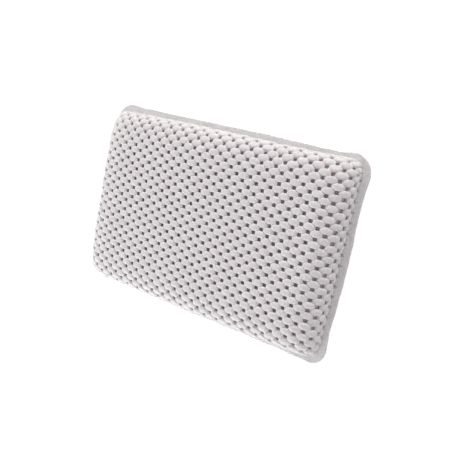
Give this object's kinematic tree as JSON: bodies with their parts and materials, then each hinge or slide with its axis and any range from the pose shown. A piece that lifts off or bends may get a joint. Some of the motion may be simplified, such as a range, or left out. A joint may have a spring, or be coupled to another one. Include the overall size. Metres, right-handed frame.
{
  "type": "bath pillow",
  "caption": "Rectangular foam bath pillow with an open vinyl mesh front, a welded margin with eared corners and suction cups on its flat back.",
  "frame": {"origin": "under the middle of the pillow, in the plane of the suction cups' rims", "axes": "X along the pillow's width, Y towards its top edge, Z out through its front"},
  "size_m": [0.332, 0.223, 0.042],
  "materials": {
    "foamed_vinyl": "matte, finely grained",
    "foam": "open-cell foam",
    "vinyl_sheet": "satin",
    "soft_vinyl": "glossy, slightly clear"
  },
  "bodies": {
    "pillow": {"mesh_cover": "foamed_vinyl", "foam_core": "foam", "back_sheet": "vinyl_sheet", "cup_ring_1": "vinyl_sheet", "cup_ring_2": "vinyl_sheet", "cup_ring_3": "vinyl_sheet", "cup_ring_4": "vinyl_sheet", "cup_ring_5": "vinyl_sheet", "cup_ring_6": "vinyl_sheet", "cup_ring_7": "vinyl_sheet", "cup_ring_8": "vinyl_sheet"},
    "cup_1": {"suction_cup_1": "soft_vinyl"},
    "cup_2": {"suction_cup_2": "soft_vinyl"},
    "cup_3": {"suction_cup_3": "soft_vinyl"},
    "cup_4": {"suction_cup_4": "soft_vinyl"},
    "cup_5": {"suction_cup_5": "soft_vinyl"},
    "cup_6": {"suction_cup_6": "soft_vinyl"},
    "cup_7": {"suction_cup_7": "soft_vinyl"},
    "cup_8": {"suction_cup_8": "soft_vinyl"}
  },
  "joints": [
    {"name": "cup_spin_1", "type": "hinge", "parent": "pillow", "child": "cup_1", "pos_m": [-0.114, -0.052, 0.0105], "axis": [0, 0, 1], "continuous": true},
    {"name": "cup_spin_2", "type": "hinge", "parent": "pillow", "child": "cup_2", "pos_m": [-0.038, -0.052, 0.0105], "axis": [0, 0, 1], "continuous": true},
    {"name": "cup_spin_3", "type": "hinge", "parent": "pillow", "child": "cup_3", "pos_m": [0.038, -0.052, 0.0105], "axis": [0, 0, 1], "continuous": true},
    {"name": "cup_spin_4", "type": "hinge", "parent": "pillow", "child": "cup_4", "pos_m": [0.114, -0.052, 0.0105], "axis": [0, 0, 1], "continuous": true},
    {"name": "cup_spin_5", "type": "hinge", "parent": "pillow", "child": "cup_5", "pos_m": [-0.114, 0.052, 0.0105], "axis": [0, 0, 1], "continuous": true},
    {"name": "cup_spin_6", "type": "hinge", "parent": "pillow", "child": "cup_6", "pos_m": [-0.038, 0.052, 0.0105], "axis": [0, 0, 1], "continuous": true},
    {"name": "cup_spin_7", "type": "hinge", "parent": "pillow", "child": "cup_7", "pos_m": [0.038, 0.052, 0.0105], "axis": [0, 0, 1], "continuous": true},
    {"name": "cup_spin_8", "type": "hinge", "parent": "pillow", "child": "cup_8", "pos_m": [0.114, 0.052, 0.0105], "axis": [0, 0, 1], "continuous": true}
  ]
}
